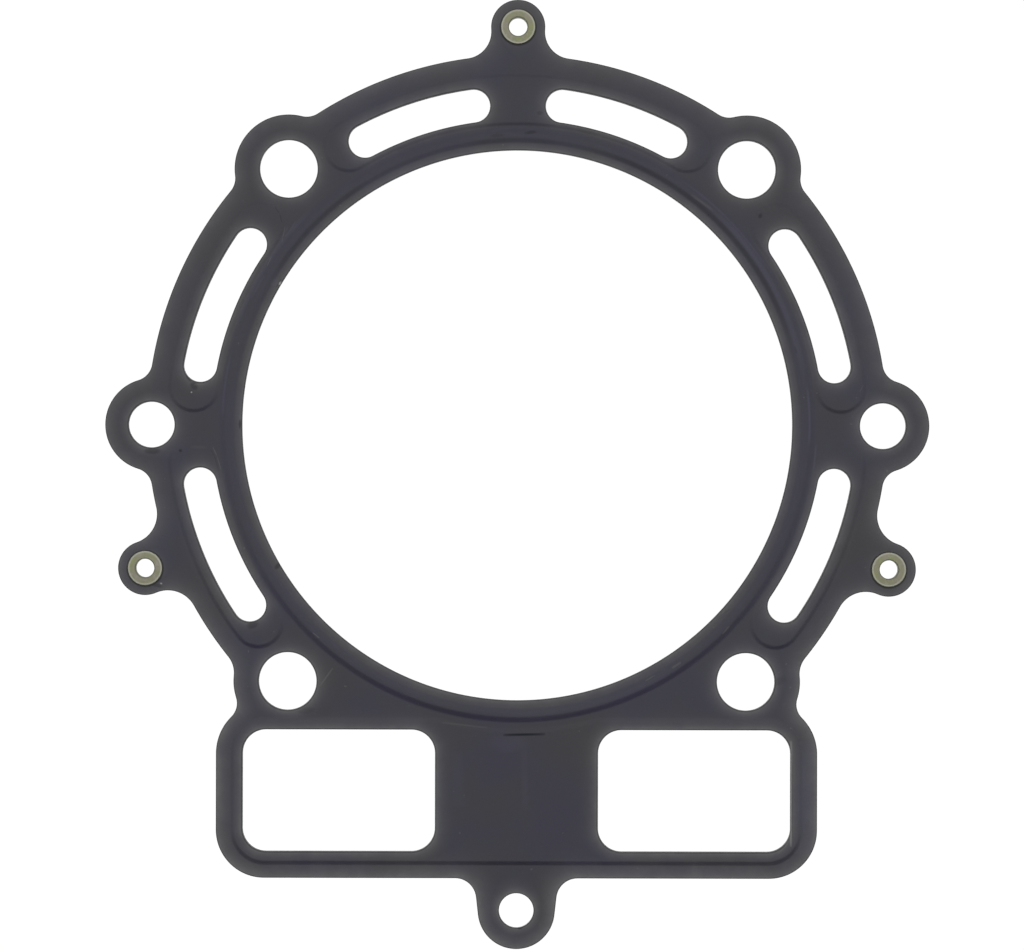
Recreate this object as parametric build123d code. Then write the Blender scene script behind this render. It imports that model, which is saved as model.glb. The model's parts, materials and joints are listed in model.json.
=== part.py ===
from build123d import *
import os
from math import asin, atan2, cos, hypot, pi, radians, sin, sqrt

# Cylinder head gasket for a single-cylinder engine: three steel layers held by three eyelets.
# Millimetres, +Z towards the cylinder head, +Y away from the chain tunnel.
# The origin is on the cylinder axis, in the flat underside of the lower sealing layer.

# Sheets: an embossed sealing layer on each side of a flat carrier
layer_thickness = 0.25
carrier_thickness = 0.40
opening_setback = 0.10          # holes in the sealing layers are larger all round by this

# Cylinder bore, and the full bead rolled round it in the sealing layers
bore_radius = 50.75
bead_start = 1.3                # from the bore edge to the bead's inner foot
bead_slope = 1.0                # length of each flank, seen from above
bead_crown = 0.75               # flat of the crown
bead_height = 0.22
bead_rounding_radius = 1.0

# Half beads: a step up to the area round each opening
half_bead_height = 0.18
half_bead_slope = 0.70          # length of the step, seen from above

# Coolant slots, curved about the cylinder axis, with the angles of their end centres from X
slot_land = 1.65                # from the full bead's foot to the slots
slot_half_width = 3.03
side_slot_start_angle = 10.6
side_slot_end_angle = 34.0
top_slot_start_angle = 61.7
top_slot_end_angle = 82.1
slot_bead_inside = 0.85         # from the slot's edges to the middle of the half bead
slot_bead_outside = 2.0
side_bead_end_angle = 3.9       # past a side slot's end, beside the side screw
stud_bead_end_angle = 3.4       # past a side slot's end, beside the stud
top_bead_end_angle = 3.0        # past a top slot's end, beside the stud

# Round body
rim_width = 5.79                # from the slots to the outside

# Main studs, a rectangle about the cylinder axis
stud_inset_x = 8.5              # from the bore's side back to the stud's axis
stud_inset_y = 3.5
stud_hole_radius = 5.3
stud_lobe_radius = 10.0
stud_upper_fillet_radius = 3.7
stud_lower_fillet_radius = 4.7

# Side screws, level with the cylinder axis
side_screw_inset = 0.85         # from the outside of the round body
side_hole_radius = 4.2
side_lobe_radius = 8.55
side_fillet_radius = 3.6

# Chain tunnel: a frame with two windows and a bridge between them
tunnel_overhang = 13.2          # from the lower studs' axes out to the frame's sides
tunnel_wall = 4.95              # beside and below the windows
window_land = 1.4               # from the full bead's foot down to the windows
window_height = 22.4
window_corner_radius = 4.3
bridge_width = 30.1
shoulder_drop = 4.4             # from the windows' tops down to the upper corners' centres
shoulder_radius = 9.5
tunnel_corner_radius = 8.9
tunnel_notch_radius = 3.5
tunnel_bead_side = 1.9          # from the windows' edges to the middle of the half bead
tunnel_bead_above = 1.9
tunnel_bead_below = 2.15
tunnel_bead_corner_radius = 6.0
bridge_bead_land = 1.5          # from the full bead's foot to the half bead on the bridge
bridge_bead_corner_radius = 2.0

# Small screw below the chain tunnel
tab_drop = 5.95                 # from the frame's lower edge to the screw
tab_hole_radius = 3.2
tab_radius = 7.1
tab_flare = 0.3                 # how much wider the tab is at its root
tab_root_radius = 3.9

# Eyelets on tabs outside the round body
eyelet_reach = 5.2              # from the outside of the round body
eyelet_side_angle = -21.1       # of the right eyelet from X; the left one mirrors it
eyelet_tab_radius = 5.0
eyelet_top_fillet_radius = 5.0
eyelet_side_fillet_radius = 5.5
eyelet_bore_radius = 1.7
eyelet_wall = 0.4
eyelet_clearance = 0.06         # round the shank, in every layer
eyelet_head_radius = 3.2
eyelet_tail_radius = 3.0
eyelet_head_thickness = 0.38
eyelet_tail_thickness = 0.30
eyelet_rounding_radius = 0.14

# Levels of the stack, from the underside up
carrier_bottom = layer_thickness
upper_bottom = carrier_bottom + carrier_thickness
stack_top = upper_bottom + layer_thickness

# Radii about the cylinder axis, from the bore out
bead_end_radius = bore_radius + bead_start + 2 * bead_slope + bead_crown
bridge_bead_radius = bead_end_radius + bridge_bead_land
slot_radius = bead_end_radius + slot_land + slot_half_width
slot_bead_inner_radius = slot_radius - slot_half_width - slot_bead_inside
slot_bead_outer_radius = slot_radius + slot_half_width + slot_bead_outside
ring_radius = slot_radius + slot_half_width + rim_width
eyelet_circle_radius = ring_radius + eyelet_reach
eyelet_hole_radius = eyelet_bore_radius + eyelet_wall + eyelet_clearance

# Places of the screws, and edges of the chain tunnel
stud_x = bore_radius - stud_inset_x
stud_y = bore_radius - stud_inset_y
side_x = ring_radius - side_screw_inset
tunnel_side = stud_x + tunnel_overhang
window_outer = tunnel_side - tunnel_wall
window_inner = bridge_width / 2
window_top = -(bead_end_radius + window_land)
window_bottom = window_top - window_height
tunnel_bottom = window_bottom - tunnel_wall
tab_y = tunnel_bottom - tab_drop


def polar(radius, angle):
    return (radius * cos(angle), radius * sin(angle))


def stud_centres():
    return [(stud_x, stud_y), (-stud_x, stud_y), (-stud_x, -stud_y), (stud_x, -stud_y)]


def eyelet_centres():
    x, y = polar(eyelet_circle_radius, radians(eyelet_side_angle))
    return {
        "eyelet_top": (0, eyelet_circle_radius),
        "eyelet_left": (-x, y),
        "eyelet_right": (x, y),
    }


def fillet_round(first, second, radius):
    """Hollow round that touches two others from outside, on the left of first to second."""
    (x1, y1, r1), (x2, y2, r2) = first, second
    span = hypot(x2 - x1, y2 - y1)
    ux, uy = (x2 - x1) / span, (y2 - y1) / span
    reach = r1 + radius
    along = (reach ** 2 - (r2 + radius) ** 2 + span ** 2) / (2 * span)
    across = sqrt(reach ** 2 - along ** 2)
    return (x1 + along * ux - across * uy, y1 + along * uy + across * ux, -radius)


def round_chain(rounds):
    """Closed clockwise wire through rounds (x, y, radius), with tangent lines where they are
    apart. A negative radius is a hollow round, which turns the other way."""
    touching = 1e-4
    leave, arrive = {}, {}
    for i, (x1, y1, r1) in enumerate(rounds):
        j = (i + 1) % len(rounds)
        x2, y2, r2 = rounds[j]
        span = hypot(x2 - x1, y2 - y1)
        lean = max(-1.0, min(1.0, (r2 - r1) / span))
        heading = atan2(y2 - y1, x2 - x1) + asin(lean)
        nx, ny = sin(heading), -cos(heading)
        leave[i] = (x1 - nx * r1, y1 - ny * r1)
        arrive[j] = (x2 - nx * r2, y2 - ny * r2)
        if hypot(arrive[j][0] - leave[i][0], arrive[j][1] - leave[i][1]) < touching:
            arrive[j] = leave[i]
    edges = []
    for i, (x, y, r) in enumerate(rounds):
        start = atan2(arrive[i][1] - y, arrive[i][0] - x)
        end = atan2(leave[i][1] - y, leave[i][0] - x)
        sweep = (start - end) % (2 * pi) if r > 0 else -((end - start) % (2 * pi))
        mx, my = polar(abs(r), start - sweep / 2)
        edges.append(ThreePointArc(arrive[i], (x + mx, y + my), leave[i]))
        following = arrive[(i + 1) % len(rounds)]
        if following != leave[i]:
            edges.append(Line(leave[i], following))
    return Wire(edges)


def outline_face():
    """Outer shape that all the layers share, from the top eyelet round by the right."""
    eyelets = eyelet_centres()
    ring = (0, 0, ring_radius)
    top_tab = (*eyelets["eyelet_top"], eyelet_tab_radius)
    upper_lobe = (stud_x, stud_y, stud_lobe_radius)
    side_lobe = (side_x, 0, side_lobe_radius)
    side_tab = (*eyelets["eyelet_right"], eyelet_tab_radius)
    lower_lobe = (stud_x, -stud_y, stud_lobe_radius)
    shoulder = (tunnel_side - shoulder_radius, window_top - shoulder_drop, shoulder_radius)
    corner = (tunnel_side - tunnel_corner_radius, tunnel_bottom + tunnel_corner_radius,
              tunnel_corner_radius)
    root = (tab_radius + tab_root_radius + tab_flare, tunnel_bottom - tab_root_radius,
            -tab_root_radius)
    bottom_tab = (0, tab_y, tab_radius)
    right = [
        fillet_round(top_tab, ring, eyelet_top_fillet_radius),
        ring,
        fillet_round(ring, upper_lobe, stud_upper_fillet_radius),
        upper_lobe,
        fillet_round(upper_lobe, ring, stud_upper_fillet_radius),
        ring,
        fillet_round(ring, side_lobe, side_fillet_radius),
        side_lobe,
        fillet_round(side_lobe, ring, side_fillet_radius),
        ring,
        fillet_round(ring, side_tab, eyelet_side_fillet_radius),
        side_tab,
        fillet_round(side_tab, ring, eyelet_side_fillet_radius),
        ring,
        fillet_round(ring, lower_lobe, stud_lower_fillet_radius),
        lower_lobe,
        fillet_round(lower_lobe, shoulder, tunnel_notch_radius),
        shoulder,
        corner,
        root,
    ]
    left = [(-x, y, r) for x, y, r in reversed(right)]
    return Face(round_chain([top_tab] + right + [bottom_tab] + left))


def ring_slot_wire(inner, outer, start, end):
    """Curved slot between two radii, with round ends centred at two angles in degrees."""
    middle, half = (inner + outer) / 2, (outer - inner) / 2
    first, last = radians(start), radians(end)
    ex, ey = polar(middle, last)
    tip_x, tip_y = polar(half, last + pi / 2)
    sx, sy = polar(middle, first)
    root_x, root_y = polar(half, first - pi / 2)
    return Wire([
        ThreePointArc(polar(outer, first), polar(outer, (first + last) / 2), polar(outer, last)),
        ThreePointArc(polar(outer, last), (ex + tip_x, ey + tip_y), polar(inner, last)),
        ThreePointArc(polar(inner, last), polar(inner, (first + last) / 2), polar(inner, first)),
        ThreePointArc(polar(inner, first), (sx + root_x, sy + root_y), polar(outer, first)),
    ])


def slot_spans():
    """End angles of the six coolant slots."""
    side = (side_slot_start_angle, side_slot_end_angle)
    top = (top_slot_start_angle, top_slot_end_angle)
    spans = []
    for first, last in (side, top):
        spans += [(first, last), (180 - last, 180 - first)]
    spans += [(-side[1], -side[0]), (180 + side[0], 180 + side[1])]
    return spans


def slot_bead_spans():
    """End angles of the half beads: one round each side slot, and one round both top slots."""
    first = side_slot_start_angle - side_bead_end_angle
    last = side_slot_end_angle + stud_bead_end_angle
    top = top_slot_start_angle - top_bead_end_angle
    return [(first, last), (180 - last, 180 - first), (-last, -first),
            (180 + first, 180 + last), (top, 180 - top)]


def window_wire(side, grow):
    """Rounded window on one side of the bridge, larger all round by grow."""
    width = window_outer - window_inner + 2 * grow
    height = window_top - window_bottom + 2 * grow
    x, y = side * (window_outer + window_inner) / 2, (window_top + window_bottom) / 2
    return Pos(x, y) * RectangleRounded(width, height, window_corner_radius + grow).wire()


def tunnel_bead_wire(grow):
    """Line round both windows, which follows the cylinder bore over the bridge."""
    outer = window_outer + tunnel_bead_side + grow
    top = window_top + tunnel_bead_above + grow
    bottom = window_bottom - tunnel_bead_below - grow
    big = tunnel_bead_corner_radius + grow
    dip = bridge_bead_radius - grow
    small = bridge_bead_corner_radius + grow
    knee_y = top - small
    knee_x = sqrt((dip + small) ** 2 - knee_y ** 2)
    return round_chain([
        (knee_x, knee_y, small),
        (outer - big, top - big, big),
        (outer - big, bottom + big, big),
        (big - outer, bottom + big, big),
        (big - outer, top - big, big),
        (-knee_x, knee_y, small),
        (0, 0, -dip),
    ])


def opening_faces(grow):
    """Every hole through a layer. The stud and side holes, slots and windows are larger all
    round by grow; the bore, the tab's hole and the eyelets' holes keep their size."""
    faces = [Face(Wire.make_circle(bore_radius))]
    rounds = [(x, y, stud_hole_radius + grow) for x, y in stud_centres()]
    rounds += [(side * side_x, 0, side_hole_radius + grow) for side in (-1, 1)]
    rounds += [(0, tab_y, tab_hole_radius)]
    rounds += [(x, y, eyelet_hole_radius) for x, y in eyelet_centres().values()]
    faces += [Pos(x, y) * Face(Wire.make_circle(r)) for x, y, r in rounds]
    inner = slot_radius - slot_half_width - grow
    outer = slot_radius + slot_half_width + grow
    faces += [Face(ring_slot_wire(inner, outer, first, last)) for first, last in slot_spans()]
    faces += [Face(window_wire(side, grow)) for side in (-1, 1)]
    return faces


def step_wires(grow):
    """Outlines of all the half beads, larger all round by grow."""
    inner = slot_bead_inner_radius - grow
    outer = slot_bead_outer_radius + grow
    wires = [ring_slot_wire(inner, outer, first, last) for first, last in slot_bead_spans()]
    return wires + [tunnel_bead_wire(grow)]


def raised_steps(level):
    """Solids that rise from a level by the half bead's height, with sloping sides."""
    half = half_bead_slope / 2
    feet, crests = step_wires(half), step_wires(-half)
    return [
        Solid.make_loft([Pos(0, 0, level) * foot, Pos(0, 0, level + half_bead_height) * crest],
                        ruled=True)
        for foot, crest in zip(feet, crests)
    ]


def bead_ring(join_radius):
    """Band from the bore to join_radius, with the full bead pressed up in it."""
    foot_in = bore_radius + bead_start
    crest_in = foot_in + bead_slope
    crest_out = crest_in + bead_crown
    bends = [(foot_in, 0), (crest_in, bead_height), (crest_out, bead_height), (bead_end_radius, 0)]
    lower = [(bore_radius, 0)] + bends + [(join_radius, 0)]
    upper = [(r, z + layer_thickness) for r, z in reversed(lower)]
    section = Plane.XZ * make_face(Polyline(*lower, *upper, close=True))
    inside = [v for v in section.vertices() if bore_radius + 0.1 < v.X < join_radius - 0.01]
    section = fillet(inside, bead_rounding_radius)
    return revolve(section, Axis.Z)


def slab(face, bottom, top):
    """Flat solid of a face's shape, between two levels."""
    return extrude(Pos(0, 0, bottom) * face, top - bottom, dir=(0, 0, 1))


def cut_all(body, solids):
    for solid in solids:
        body = body - solid
    return body


def upper_layer():
    """Sealing layer with its beads upwards, its flat underside at z = 0."""
    join_radius = (bead_end_radius + slot_bead_inner_radius - half_bead_slope / 2) / 2
    body = slab(outline_face(), 0, layer_thickness)
    for step in raised_steps(layer_thickness):
        body = body + step
    body = cut_all(body, raised_steps(0))
    body = body - slab(Face(Wire.make_circle(join_radius)), -layer_thickness, 2 * layer_thickness)
    body = body + bead_ring(join_radius)
    openings = opening_faces(opening_setback)[1:]
    return cut_all(body, [slab(face, -layer_thickness, 3 * layer_thickness) for face in openings])


def carrier():
    """Flat sheet, its underside at z = 0."""
    body = slab(outline_face(), 0, carrier_thickness)
    openings = opening_faces(0)
    return cut_all(body, [slab(face, -carrier_thickness, 2 * carrier_thickness)
                          for face in openings])


def eyelet():
    """Tubular eyelet on its own axis, its head on top of the stack and its tail rolled below."""
    shank = eyelet_bore_radius + eyelet_wall
    top = stack_top + eyelet_head_thickness
    bottom = -eyelet_tail_thickness
    section = Plane.XZ * make_face(Polyline(
        (eyelet_bore_radius, bottom), (eyelet_tail_radius, bottom), (eyelet_tail_radius, 0),
        (shank, 0), (shank, stack_top), (eyelet_head_radius, stack_top),
        (eyelet_head_radius, top), (eyelet_bore_radius, top), close=True))
    ends = [v for v in section.vertices() if abs(v.Z - top) < 0.01 or abs(v.Z - bottom) < 0.01]
    return revolve(fillet(ends, eyelet_rounding_radius), Axis.Z)


def build():
    sealing = upper_layer()
    middle = stack_top / 2
    parts = {
        "upper_sealing_layer": Pos(0, 0, upper_bottom) * sealing,
        "carrier_layer": Pos(0, 0, carrier_bottom) * carrier(),
    }
    parts["lower_sealing_layer"] = mirror(parts["upper_sealing_layer"], Plane.XY.offset(middle))
    for name, (x, y) in eyelet_centres().items():
        parts[name] = Pos(x, y) * eyelet()
    return parts


os.makedirs("parts", exist_ok=True)
for node, shape in build().items():
    export_step(shape, f"parts/{node}.step")
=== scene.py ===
import json
import math

import bpy
import numpy as np
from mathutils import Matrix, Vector
from mathutils.geometry import delaunay_2d_cdt
from mathutils.kdtree import KDTree


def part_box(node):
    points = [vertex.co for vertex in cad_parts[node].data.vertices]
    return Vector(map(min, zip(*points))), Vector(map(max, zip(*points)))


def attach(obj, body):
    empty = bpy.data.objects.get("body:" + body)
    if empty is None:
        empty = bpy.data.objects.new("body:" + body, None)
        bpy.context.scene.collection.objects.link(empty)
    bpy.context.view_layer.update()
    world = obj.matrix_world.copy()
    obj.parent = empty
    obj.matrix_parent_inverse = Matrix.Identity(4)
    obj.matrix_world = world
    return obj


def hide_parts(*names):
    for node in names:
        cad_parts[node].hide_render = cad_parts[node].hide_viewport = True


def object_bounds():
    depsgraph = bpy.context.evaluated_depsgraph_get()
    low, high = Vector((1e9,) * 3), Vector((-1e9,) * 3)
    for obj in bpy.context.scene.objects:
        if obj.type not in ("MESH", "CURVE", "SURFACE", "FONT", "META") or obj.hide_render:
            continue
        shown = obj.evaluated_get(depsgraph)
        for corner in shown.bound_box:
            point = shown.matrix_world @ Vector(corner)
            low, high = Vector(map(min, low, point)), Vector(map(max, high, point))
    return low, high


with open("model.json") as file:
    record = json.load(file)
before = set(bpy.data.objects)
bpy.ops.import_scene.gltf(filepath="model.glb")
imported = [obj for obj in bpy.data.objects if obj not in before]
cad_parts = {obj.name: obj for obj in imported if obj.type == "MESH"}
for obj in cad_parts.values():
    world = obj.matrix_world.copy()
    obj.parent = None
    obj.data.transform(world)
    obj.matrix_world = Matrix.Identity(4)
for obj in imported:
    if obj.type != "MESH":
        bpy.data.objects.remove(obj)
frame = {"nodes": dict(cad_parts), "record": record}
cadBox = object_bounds()
mounts = {mount["name"]: mount for mount in frame["record"]["mounts"]}
mm = 0.001                       # sizes below are in millimetres, the scene is in metres
sharpAngle = 50                  # degrees past which a fold is left sharp
eyeletNodes = ("eyelet_top", "eyelet_left", "eyelet_right")


def mountDims(name):
    return mounts[name]["dims"]


def boxCentre(node):
    low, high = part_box(node)
    return ((low.x + high.x) / 2 / mm, (low.y + high.y) / 2 / mm)


# A Sig is one output socket. Sums and products of Sigs and numbers add Math nodes.
class Sig:
    def __init__(self, graph, socket):
        self.graph = graph
        self.socket = socket

    def math(self, operation, *others):
        sockets = dict(enumerate((self,) + others))
        return self.graph.value("ShaderNodeMath", {"operation": operation}, sockets)

    def __add__(self, other):
        return self.math("ADD", other)

    def __sub__(self, other):
        return self.math("SUBTRACT", other)

    def __rsub__(self, other):
        return (self * -1) + other

    def __mul__(self, other):
        return self.math("MULTIPLY", other)

    def __truediv__(self, other):
        return self.math("DIVIDE", other)

    def __pow__(self, other):
        return self.math("POWER", other)

    __radd__ = __add__
    __rmul__ = __mul__

    def above(self, other):
        return self.math("MAXIMUM", other)

    def below(self, other):
        return self.math("MINIMUM", other)

    def unit(self):
        return self.above(0.0).below(1.0)

    # Smooth step of this value: 0 at one bound, 1 at the other, which may be the lower one
    def fade(self, start, end):
        low, high = min(start, end), max(start, end)
        ends = (0.0, 1.0) if start < end else (1.0, 0.0)
        sockets = {"Value": self, "From Min": low, "From Max": high,
                   "To Min": ends[0], "To Max": ends[1]}
        settings = {"interpolation_type": "SMOOTHSTEP", "clamp": True}
        return self.graph.value("ShaderNodeMapRange", settings, sockets, "Result")


# One node tree being built: a material's or a geometry tree
class Graph:
    def __init__(self, tree):
        self.tree = tree

    def node(self, kind, settings=None, sockets=None):
        made = self.tree.nodes.new(kind)
        for key, value in (settings or {}).items():
            setattr(made, key, value)
        for key, value in (sockets or {}).items():
            target = made.inputs[key]
            if isinstance(value, Sig):
                self.tree.links.new(value.socket, target)
            else:
                target.default_value = value
        return made

    def value(self, kind, settings=None, sockets=None, output=0):
        return Sig(self, self.node(kind, settings, sockets).outputs[output])

    def mixColour(self, factor, first, second, blend="MIX"):
        made = self.node("ShaderNodeMix", {"data_type": "RGBA", "blend_type": blend})
        for index, given in ((0, factor), (6, first), (7, second)):
            if isinstance(given, Sig):
                self.tree.links.new(given.socket, made.inputs[index])
            else:
                made.inputs[index].default_value = given
        return Sig(self, made.outputs[2])


def tone(red, green, blue):
    # A screen colour from 0 to 255 as Blender's linear colour
    parts = []
    for part in (red, green, blue):
        part = part / 255
        parts.append(part / 12.92 if part <= 0.04045 else ((part + 0.055) / 1.055) ** 2.4)
    return (*parts, 1.0)


print("frame loaded:", ", ".join(sorted(frame["nodes"])))


# Shape of the sheets, in millimetres from the cylinder axis. Y points away from the chain tunnel.
sheetShape = {
    "boreRadius": mountDims("cylinder_bore")["r_mm"],
    "ringRadius": 68.3,
    "studX": mountDims("main_studs")["spacing_x_mm"] / 2,
    "studY": mountDims("main_studs")["spacing_y_mm"] / 2,
    "studHole": mountDims("main_studs")["hole_r_mm"],
    "studLobe": 10.0,
    "studUpperFillet": 3.7,
    "studLowerFillet": 4.7,
    "sideX": mountDims("side_screws")["spacing_x_mm"] / 2,
    "sideHole": mountDims("side_screws")["hole_r_mm"],
    "sideLobe": 8.55,
    "sideFillet": 3.6,
    "eyeletTab": 5.0,
    "eyeletTopFillet": 5.0,
    "eyeletSideFillet": 5.5,
    "eyeletHole": 2.16,
    "tunnelSide": 55.45,
    "tunnelBottom": -83.55,
    "tunnelCorner": 8.9,
    "shoulderY": -60.6,
    "shoulder": 9.5,
    "notch": 3.5,
    "windowOuter": 50.5,
    "windowInner": 15.05,
    "windowTop": -56.2,
    "windowBottom": -78.6,
    "windowCorner": 4.3,
    "tabY": mounts["tunnel_screw"]["pos_m"][1] / mm,
    "tabHole": mountDims("tunnel_screw")["r_mm"],
    "tab": 7.1,
    "tabFlare": 0.3,
    "tabRoot": 3.9,
    "slotRadius": 59.48,
    "slotHalf": 3.03,
    "sideSlot": (10.6, 34.0),        # degrees from X to the centres of its round ends
    "topSlot": (61.7, 82.1),
    "setback": 0.10,                 # the sealing sheets' openings are this much larger
}


def polar(radius, degrees):
    return radius * math.cos(math.radians(degrees)), radius * math.sin(math.radians(degrees))


def filletRound(first, second, radius):
    # Hollow round that touches two others from outside, on the left of first to second
    (x1, y1, r1), (x2, y2, r2) = first, second
    span = math.hypot(x2 - x1, y2 - y1)
    ux, uy = (x2 - x1) / span, (y2 - y1) / span
    reach = r1 + radius
    along = (reach ** 2 - (r2 + radius) ** 2 + span ** 2) / (2 * span)
    across = math.sqrt(reach ** 2 - along ** 2)
    return (x1 + along * ux - across * uy, y1 + along * uy + across * ux, -radius)


def outlineRounds(s):
    # The outer shape, clockwise from the top eyelet's tab
    ring = (0, 0, s["ringRadius"])
    topTab = (*boxCentre("eyelet_top"), s["eyeletTab"])
    upperLobe = (s["studX"], s["studY"], s["studLobe"])
    sideLobe = (s["sideX"], 0, s["sideLobe"])
    sideTab = (*boxCentre("eyelet_right"), s["eyeletTab"])
    lowerLobe = (s["studX"], -s["studY"], s["studLobe"])
    shoulder = (s["tunnelSide"] - s["shoulder"], s["shoulderY"], s["shoulder"])
    corner = (s["tunnelSide"] - s["tunnelCorner"], s["tunnelBottom"] + s["tunnelCorner"],
              s["tunnelCorner"])
    root = (s["tab"] + s["tabRoot"] + s["tabFlare"], s["tunnelBottom"] - s["tabRoot"],
            -s["tabRoot"])
    right = [
        filletRound(topTab, ring, s["eyeletTopFillet"]), ring,
        filletRound(ring, upperLobe, s["studUpperFillet"]), upperLobe,
        filletRound(upperLobe, ring, s["studUpperFillet"]), ring,
        filletRound(ring, sideLobe, s["sideFillet"]), sideLobe,
        filletRound(sideLobe, ring, s["sideFillet"]), ring,
        filletRound(ring, sideTab, s["eyeletSideFillet"]), sideTab,
        filletRound(sideTab, ring, s["eyeletSideFillet"]), ring,
        filletRound(ring, lowerLobe, s["studLowerFillet"]), lowerLobe,
        filletRound(lowerLobe, shoulder, s["notch"]), shoulder, corner, root,
    ]
    left = [(-x, y, r) for x, y, r in reversed(right)]
    return [topTab] + right + [(0, s["tabY"], s["tab"])] + left


def ringSlotRounds(radius, half, start, end):
    # A slot curved about the cylinder axis, clockwise: outer arc, end, inner arc, end
    return [(0, 0, radius + half), (*polar(radius, start), half),
            (0, 0, half - radius), (*polar(radius, end), half)]


def boxRounds(left, right, bottom, top, corner):
    x1, x2, y1, y2 = left + corner, right - corner, bottom + corner, top - corner
    return [(x1, y2, corner), (x2, y2, corner), (x2, y1, corner), (x1, y1, corner)]


def openingRounds(s, setback):
    # Every hole through a sheet. The bore, tab and eyelet holes are alike in all sheets.
    holes = [[(0, 0, s["boreRadius"])], [(0, s["tabY"], s["tabHole"])]]
    holes += [[(*boxCentre(name), s["eyeletHole"])] for name in eyeletNodes]
    for side in (-1, 1):
        holes += [[(side * s["studX"], y, s["studHole"] + setback)]
                  for y in (s["studY"], -s["studY"])]
        holes.append([(side * s["sideX"], 0, s["sideHole"] + setback)])
        near, far = sorted((side * s["windowInner"], side * s["windowOuter"]))
        holes.append(boxRounds(near - setback, far + setback, s["windowBottom"] - setback,
                               s["windowTop"] + setback, s["windowCorner"] + setback))
    for start, end in slotSpans(s["sideSlot"], s["topSlot"]):
        holes.append(ringSlotRounds(s["slotRadius"], s["slotHalf"] + setback, start, end))
    return holes


def slotSpans(side, top):
    low, high = side
    spans = [(low, high), (180 - high, 180 - low), (-high, -low), (180 + low, 180 + high)]
    return spans + [top, (180 - top[1], 180 - top[0])]


def chainLoop(rounds, grow=0.0, spacing=0.5):
    # Points along a clockwise chain of rounds and the tangent lines between them
    touching, finest = 1e-4, 0.2
    grown = [(x, y, r + grow) for x, y, r in rounds]
    if len(grown) == 1:
        x, y, r = grown[0]
        count = math.ceil(2 * math.pi * r / min(spacing, r * finest))
        turns = [-2 * math.pi * k / count for k in range(count)]
        return [(x + r * math.cos(turn), y + r * math.sin(turn)) for turn in turns]
    leave, arrive = {}, {}
    for i, (x1, y1, r1) in enumerate(grown):
        j = (i + 1) % len(grown)
        x2, y2, r2 = grown[j]
        lean = max(-1.0, min(1.0, (r2 - r1) / math.hypot(x2 - x1, y2 - y1)))
        heading = math.atan2(y2 - y1, x2 - x1) + math.asin(lean)
        nx, ny = math.sin(heading), -math.cos(heading)
        leave[i] = (x1 - nx * r1, y1 - ny * r1)
        arrive[j] = (x2 - nx * r2, y2 - ny * r2)
    points = []
    for i, (x, y, r) in enumerate(grown):
        start = math.atan2(arrive[i][1] - y, arrive[i][0] - x)
        end = math.atan2(leave[i][1] - y, leave[i][0] - x)
        sweep = (start - end) % (2 * math.pi)
        if r < 0:
            sweep = -((end - start) % (2 * math.pi))
        count = max(1, math.ceil(abs(sweep * r) / min(spacing, abs(r) * finest)))
        turns = [start - sweep * k / count for k in range(count)]
        points += [(x + abs(r) * math.cos(turn), y + abs(r) * math.sin(turn)) for turn in turns]
        ahead = arrive[(i + 1) % len(grown)]
        gap = math.hypot(ahead[0] - leave[i][0], ahead[1] - leave[i][1])
        if gap > touching:
            count = math.ceil(gap / spacing)
            points += [(leave[i][0] + (ahead[0] - leave[i][0]) * k / count,
                        leave[i][1] + (ahead[1] - leave[i][1]) * k / count)
                       for k in range(count)]
    return points


# Where the press forms the sealing sheets, seen from above
beadShape = {
    "foot": 1.3,                     # from the bore's edge to the full bead's inner foot
    "flank": 1.0,
    "crown": 0.75,
    "halfStep": 0.7,                 # width of a half bead's step
    "slotInside": 0.85,              # from a slot's edges to the middle of the step
    "slotOutside": 2.0,
    "sideEnds": (3.9, 3.4),          # degrees past a side slot's ends
    "topEnd": 3.0,
    "tunnelSide": 1.9,               # from the windows' edges to the middle of the step
    "tunnelAbove": 1.9,
    "tunnelBelow": 2.15,
    "tunnelCorner": 6.0,
    "bridgeRadius": 56.3,
    "bridgeCorner": 2.0,
}


def halfBeadRounds(s, b):
    # Middle lines of the steps: one round each side slot, one round both top slots, and
    # one round both windows, which follows the cylinder bore over the bridge
    inner = s["slotRadius"] - s["slotHalf"] - b["slotInside"]
    outer = s["slotRadius"] + s["slotHalf"] + b["slotOutside"]
    low, high = s["sideSlot"][0] - b["sideEnds"][0], s["sideSlot"][1] + b["sideEnds"][1]
    top = s["topSlot"][0] - b["topEnd"]
    spans = slotSpans((low, high), (top, 180 - top))[:5]
    loops = [ringSlotRounds((inner + outer) / 2, (outer - inner) / 2, *span) for span in spans]
    side = s["windowOuter"] + b["tunnelSide"] - b["tunnelCorner"]
    upper = s["windowTop"] + b["tunnelAbove"]
    lower = s["windowBottom"] - b["tunnelBelow"] + b["tunnelCorner"]
    kneeY = upper - b["bridgeCorner"]
    kneeX = math.sqrt((b["bridgeRadius"] + b["bridgeCorner"]) ** 2 - kneeY ** 2)
    corner = b["tunnelCorner"]
    loops.append([(kneeX, kneeY, b["bridgeCorner"]), (side, upper - corner, corner),
                  (side, lower, corner), (-side, lower, corner), (-side, upper - corner, corner),
                  (-kneeX, kneeY, b["bridgeCorner"]), (0, 0, -b["bridgeRadius"])])
    return loops


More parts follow.
